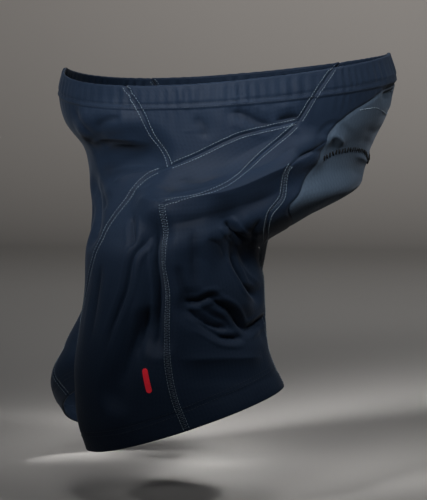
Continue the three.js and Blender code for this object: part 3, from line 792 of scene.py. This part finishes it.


# The seat piece: one panel across the centre back and between the legs, which holds the pad on its inner
# side. A slightly lighter and matter knit than the rest, whose base colour is raised further as painted
# light, standing in for the light from above and behind that falls on the seat.
SEAT_ACROSS = 44
seat_knit = knit_material("seat_knit", (0.020, 0.031, 0.046), (0.027, 0.040, 0.058), 0.7, 0.08, 0.4)
half_rows = piece_rows(joined("seat_top", "seat_foot"), seam_places("centre_back_foot"), SEAT_ACROSS)
seat_rows = np.concatenate([half_rows, half_rows[:, -2::-1]], axis=1)
seat_halves = np.array([LEFT] * half_rows.shape[1] + [RIGHT] * (half_rows.shape[1] - 1))[None, :]
seat = cloth_shell("seat_cloth", seat_rows, seat_halves, seat_knit)
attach(seat, "root")
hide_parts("seat")


# The seam sewing: each seam is pressed open and held flat by two rows of pale thread, one on each side.
# The rear thigh seam and the top of the back leg seam also show the dim cross threads of a flatlock.
STITCH_PITCH, STITCH_LENGTH, STITCH_WIDTH, STITCH_HEIGHT = 0.0026, 0.0021, 0.00045, 0.0005
ROW_OFFSET = 2.6
LADDER_PITCH, LADDER_LENGTH, LADDER_WIDTH, LADDER_SLANT = 0.0016, 0.0005, 0.0042, 0.18
SEAM_STEPS = 160
THREAD_LIFT = 0.15

stitch_row = bpy.data.node_groups.new("stitch_row", "GeometryNodeTree")
ROW_INPUTS = [
    ("Path", "Geometry"), ("Pitch", "Float"), ("Length", "Float"), ("Width", "Float"), ("Height", "Float"),
    ("Slant", "Float"), ("Unevenness", "Float"), ("Thread", "Material"),
]
row_sockets = {}
for label, kind in ROW_INPUTS:
    socket = stitch_row.interface.new_socket(label, in_out="INPUT", socket_type=f"NodeSocket{kind}")
    row_sockets[label] = socket.identifier
stitch_row.interface.new_socket("Stitches", in_out="OUTPUT", socket_type="NodeSocketGeometry")
make, wire = stitch_row.nodes.new, stitch_row.links.new
row_in, row_out = make("NodeGroupInput"), make("NodeGroupOutput")
along_path = make("GeometryNodeMeshToCurve")
link(row_in, "Path", along_path, "Mesh")
spaced = make("GeometryNodeResampleCurve")
spaced.mode = "LENGTH"
link(along_path, "Curve", spaced, "Curve")
link(row_in, "Pitch", spaced, "Length")
surface_up = make("GeometryNodeInputNamedAttribute")
surface_up.data_type = "FLOAT_VECTOR"
put(surface_up, Name="surface_up")
stand = make("FunctionNodeAlignRotationToVector")
stand.axis = "Z"
link(surface_up, "Attribute", stand, "Vector")
follow = make("FunctionNodeAlignRotationToVector")
follow.axis, follow.pivot_axis = "X", "Z"
link(stand, "Rotation", follow, "Rotation")
link(make("GeometryNodeInputTangent"), "Tangent", follow, "Vector")
odd = math_node(stitch_row, "MODULO", make("GeometryNodeInputIndex").outputs["Index"], 2)
to_and_fro = math_node(stitch_row, "SUBTRACT", math_node(stitch_row, "MULTIPLY", odd, 2), 1)
lean = make("ShaderNodeCombineXYZ")
wire(math_node(stitch_row, "MULTIPLY", to_and_fro, row_in.outputs["Slant"]), lean.inputs["Z"])
lean_turn = make("FunctionNodeEulerToRotation")
link(lean, "Vector", lean_turn, "Euler")
leant = make("FunctionNodeRotateRotation")
leant.rotation_space = "LOCAL"
link(follow, "Rotation", leant, "Rotation")
link(lean_turn, "Rotation", leant, "Rotate By")
pull = make("FunctionNodeRandomValue")
pull.data_type = "FLOAT"
put(pull, Seed=5)
wire(math_node(stitch_row, "SUBTRACT", 1, row_in.outputs["Unevenness"]), pull.inputs[2])
wire(math_node(stitch_row, "ADD", 1, row_in.outputs["Unevenness"]), pull.inputs[3])
size = make("ShaderNodeCombineXYZ")
wire(math_node(stitch_row, "MULTIPLY", row_in.outputs["Length"], pull.outputs[1]), size.inputs["X"])
link(row_in, "Width", size, "Y")
link(row_in, "Height", size, "Z")
thread_loop = make("GeometryNodeMeshUVSphere")
put(thread_loop, Segments=6, Rings=4, Radius=0.5)
lying = make("GeometryNodeTransform")
put(lying, Rotation=(0, np.pi / 2, 0))
link(thread_loop, "Mesh", lying, "Geometry")
rounded = make("GeometryNodeSetShadeSmooth")
link(lying, "Geometry", rounded, "Geometry")
placed = make("GeometryNodeInstanceOnPoints")
link(spaced, "Curve", placed, "Points")
link(rounded, "Geometry", placed, "Instance")
link(leant, "Rotation", placed, "Rotation")
link(size, "Vector", placed, "Scale")
real = make("GeometryNodeRealizeInstances")
link(placed, "Instances", real, "Geometry")
threaded = make("GeometryNodeSetMaterial")
link(real, "Geometry", threaded, "Geometry")
link(row_in, "Thread", threaded, "Material")
link(threaded, "Geometry", row_out, "Stitches")


def surface_path(half, places, offset=0.0, inside=False):
    """A path on the cloth along [u, v] places, moved sideways by millimetres, with its normals."""
    u, v = places[:, 0], places[:, 1]
    centre, normals = cloth(half, u, v)
    if offset:
        du, dv = 0.002, 0.03
        by_u = (cloth(half, u + du, v)[0] - cloth(half, u - du, v)[0]) / (2 * du)
        by_v = (cloth(half, u, v + dv)[0] - cloth(half, u, v - dv)[0]) / (2 * dv)
        way = unit(np.gradient(centre, axis=0))
        side = unit(np.cross(normals, way)) * offset
        uu, uv, vv = (by_u * by_u).sum(1), (by_u * by_v).sum(1), (by_v * by_v).sum(1)
        su, sv = (side * by_u).sum(1), (side * by_v).sum(1)
        spread = uu * vv - uv * uv
        u = u + (su * vv - sv * uv) / spread
        v = v + (sv * uu - su * uv) / spread
        centre, normals = cloth(half, u, np.clip(v, 0, HEM_EDGE))
    if inside:
        centre = centre - normals * (wall_at(v) + THREAD_LIFT)[:, None]
        return centre, -normals
    return centre + normals * THREAD_LIFT, normals


def sew(name, paths, thread, pitch, length, width, height=STITCH_HEIGHT, slant=0.0, unevenness=0.12):
    """One mesh of stitches along all the given paths."""
    points, ups, edges = [], [], []
    for path, normals in paths:
        first = len(points)
        points += (path * MM).tolist()
        ups += normals.tolist()
        edges += [(first + k, first + k + 1) for k in range(len(path) - 1)]
    guide_mesh = bpy.data.meshes.new(f"{name}_guide")
    guide_mesh.from_pydata(points, edges, [])
    up = guide_mesh.attributes.new("surface_up", "FLOAT_VECTOR", "POINT")
    up.data.foreach_set("vector", np.ravel(ups))
    guide = new_object(f"{name}_guide", guide_mesh)
    sewing = guide.modifiers.new("sewing", "NODES")
    sewing.node_group = stitch_row
    values = {"Pitch": pitch, "Length": length, "Width": width, "Height": height, "Slant": slant,
              "Unevenness": unevenness, "Thread": thread}
    for label, value in values.items():
        sewing[row_sockets[label]] = value
    evaluated = guide.evaluated_get(bpy.context.evaluated_depsgraph_get())
    stitches = new_object(name, bpy.data.meshes.new_from_object(evaluated))
    bpy.data.objects.remove(guide)
    bpy.data.meshes.remove(guide_mesh)
    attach(stitches, "root")
    return stitches


def grained_material(name, dark, light, roughness, specular=0.15, grain=900, ends=(0.35, 0.65)):
    """Spun thread, or with other values smooth film: two shades in small uneven patches."""
    material, surface = new_material(name)
    tree = surface.id_data
    spot = tree.nodes.new("ShaderNodeTexCoord")
    fibres = tree.nodes.new("ShaderNodeTexNoise")
    put(fibres, Scale=grain)
    tone = tone_ramp(tree, zip(ends, (dark, light)))
    link(spot, "Object", fibres, "Vector")
    link(fibres, "Fac", tone, "Fac")
    link(tone, "Color", surface, "Base Color")
    put(surface, Roughness=roughness, Specular_IOR_Level=specular)
    return material


def stretch_of(places, start, end):
    """The part of a path between two shares of its length, at even steps."""
    return curve_places(places, np.linspace(start, end, SEAM_STEPS))


pale_thread = grained_material("pale_thread", (0.075, 0.10, 0.125), (0.15, 0.19, 0.225), 0.7)
dim_thread = grained_material("dim_thread", (0.022, 0.032, 0.045), (0.06, 0.08, 0.105), 0.6)
# Seam, and the start and end of its sewing as shares of its length.
SEWN = [
    ("hip_front", 0.0, 0.97), ("hip_back", 0.0, 0.96), ("hip_foot", 0.03, 0.97),
    ("thigh_front", 0.05, 0.99), ("thigh_top", 0.04, 0.98), ("thigh_back", 0.01, 0.99),
    ("leg_back", 0.15, 0.99), ("inseam_front", 0.02, 0.99),
]
LADDERED = [("thigh_back", 0.01, 0.99), ("leg_back", 0.15, 0.34)]
for side, half in SIDES:
    rows, ladders, inside_rows = [], [], []
    for seam_name, start, end in SEWN:
        stretch = stretch_of(SEAMS[seam_name], start, end)
        rows += [surface_path(half, stretch, offset) for offset in (-ROW_OFFSET, ROW_OFFSET)]
    for seam_name, start, end in LADDERED:
        ladders.append(surface_path(half, stretch_of(SEAMS[seam_name], start, end)))
    for seam_name in ("hip_front", "hip_back"):
        stretch = stretch_of(SEAMS[seam_name], 0.02, 0.5)
        inside_rows += [surface_path(half, stretch, offset, True) for offset in (-ROW_OFFSET, ROW_OFFSET)]
    sew(f"{side}_seam_stitches", rows + inside_rows, pale_thread, STITCH_PITCH, STITCH_LENGTH, STITCH_WIDTH)
    sew(f"{side}_flatlock_threads", ladders, dim_thread, LADDER_PITCH, LADDER_LENGTH, LADDER_WIDTH,
        slant=LADDER_SLANT)


# The cover stitch of the waist casing and the hems: two close rows of navy thread round each.
# They are sewn through both layers of the turned-over knit.
navy_thread = grained_material("navy_thread", (0.007, 0.011, 0.019), (0.014, 0.021, 0.032), 0.6)
CASING_ROWS = (0.82, 0.98)
HEM_COURSE = [(0.0, 12.35), (0.16, 12.38), (0.33, 12.35), (0.415, 12.4), (0.49, 12.35), (0.6, 12.2),
              (0.72, 12.1), (0.86, 12.25), (1.0, 12.35)]
HEM_ROW_STEP = 0.14
ROUND_STEPS = 260
for side, half in SIDES:
    rows = []
    for row_v in CASING_ROWS:
        round_waist = np.stack([np.linspace(0, 1, ROUND_STEPS), np.full(ROUND_STEPS, row_v)], 1)
        rows.append(surface_path(half, round_waist))
    for step in (0, HEM_ROW_STEP):
        round_hem = curve_places(HEM_COURSE, count=ROUND_STEPS) + (0, step)
        rows.append(surface_path(half, round_hem))
    sew(f"{side}_cover_stitches", rows, navy_thread, STITCH_PITCH, STITCH_LENGTH, STITCH_WIDTH)


# The pad's sewing: a black zigzag that holds the pad's two-lobed top edge to the inner side of the seat.
# A pale arch of single stitches runs across the seat above it.
black_thread = grained_material("black_thread", (0.0008, 0.001, 0.0015), (0.002, 0.0025, 0.003), 0.9)
PAD_TOP = [(0.745, 3.4), (0.77, 3.25), (0.79, 3.2), (0.84, 3.2), (0.915, 3.5), (0.965, 3.95)]
ZIGZAG_PITCH, ZIGZAG_LENGTH, ZIGZAG_WIDTH, ZIGZAG_HEIGHT = 0.0036, 0.0019, 0.0056, 0.0016
ZIGZAG_SLANT = 0.22
ARCH_WIDTH = 0.0009
PAD_STEPS = 120
SEAT_ARCH = [(0.81, 1.6), (0.84, 1.6), (0.875, 1.65), (0.955, 1.95), (1.0, 2.02)]
pad_rows, arch_rows = [], []
for side, half in SIDES:
    pad_rows.append(surface_path(half, curve_places(PAD_TOP, count=PAD_STEPS)))
    arch_rows.append(surface_path(half, curve_places(SEAT_ARCH, count=PAD_STEPS)))
sew("pad_zigzag", pad_rows, black_thread, ZIGZAG_PITCH, ZIGZAG_LENGTH, ZIGZAG_WIDTH, ZIGZAG_HEIGHT,
    slant=ZIGZAG_SLANT)
sew("seat_arch_stitches", arch_rows, pale_thread, STITCH_PITCH, STITCH_LENGTH, ARCH_WIDTH)


# A plain red bar with round ends, of smooth thin film.
# It is heat-pressed on the left thigh piece above the hem.
BAR_CENTRE = (0.4725, 11.3)
BAR_LENGTH, BAR_WIDTH, BAR_RISE, BAR_LEAN = 22.0, 5.0, 0.3, 0.12
BAR_SINK = 0.1
BAR_STEPS, BAR_COLUMNS = 28, 9
bar_du, bar_dv = 0.004, 0.06
bar_at = lambda du, dv: cloth(LEFT, [BAR_CENTRE[0] + du], [BAR_CENTRE[1] + dv])[0][0]
across_one = (bar_at(bar_du, 0) - bar_at(-bar_du, 0)) / (2 * bar_du)
down_one = (bar_at(0, bar_dv) - bar_at(0, -bar_dv)) / (2 * bar_dv)
bar_rows = []
for share in -np.cos(np.linspace(0, np.pi, BAR_STEPS)):
    past_end = max(abs(share) * BAR_LENGTH / 2 - (BAR_LENGTH - BAR_WIDTH) / 2, 0)
    half_width = np.sqrt(max((BAR_WIDTH / 2) ** 2 - past_end ** 2, 1e-4))
    along = share * BAR_LENGTH / 2
    bar_rows.append([(along * BAR_LEAN + t * half_width, along) for t in np.linspace(-1, 1, BAR_COLUMNS)])
flat_bar = np.array(bar_rows)
bar_u = BAR_CENTRE[0] + flat_bar[..., 0].ravel() / np.linalg.norm(across_one)
bar_v = BAR_CENTRE[1] + flat_bar[..., 1].ravel() / np.linalg.norm(down_one)
bar_places, bar_normals = cloth(LEFT, bar_u, bar_v)
bar_points = np.vstack([bar_places + bar_normals * BAR_RISE, bar_places - bar_normals * BAR_SINK]) * MM
grid = np.arange(BAR_STEPS * BAR_COLUMNS).reshape(BAR_STEPS, BAR_COLUMNS)
bar_faces = []
for i in range(BAR_STEPS - 1):
    for j in range(BAR_COLUMNS - 1):
        top = [grid[i, j], grid[i + 1, j], grid[i + 1, j + 1], grid[i, j + 1]]
        bar_faces += [top, [p + grid.size for p in top[::-1]]]
rim = [*grid[:, 0], *grid[-1, 1:], *grid[-2::-1, -1], *grid[0, -2:0:-1]]
for k, p in enumerate(rim):
    bar_faces.append([p, rim[k - 1], rim[k - 1] + grid.size, p + grid.size])
bar_mesh = bpy.data.meshes.new("thigh_bar")
bar_mesh.from_pydata(bar_points.tolist(), [], np.array(bar_faces).tolist())
bar_mesh.validate()
shaper = bmesh.new()
shaper.from_mesh(bar_mesh)
bmesh.ops.recalc_face_normals(shaper, faces=shaper.faces)
shaper.to_mesh(bar_mesh)
shaper.free()
FILM_DARK, FILM_LIGHT = (0.55, 0.006, 0.018), (0.68, 0.010, 0.028)
bar_mesh.materials.append(grained_material("red_film", FILM_DARK, FILM_LIGHT, 0.4, 0.5, 600, (0, 1)))
thigh_bar = new_object("thigh_bar", bar_mesh)
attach(thigh_bar, "root")
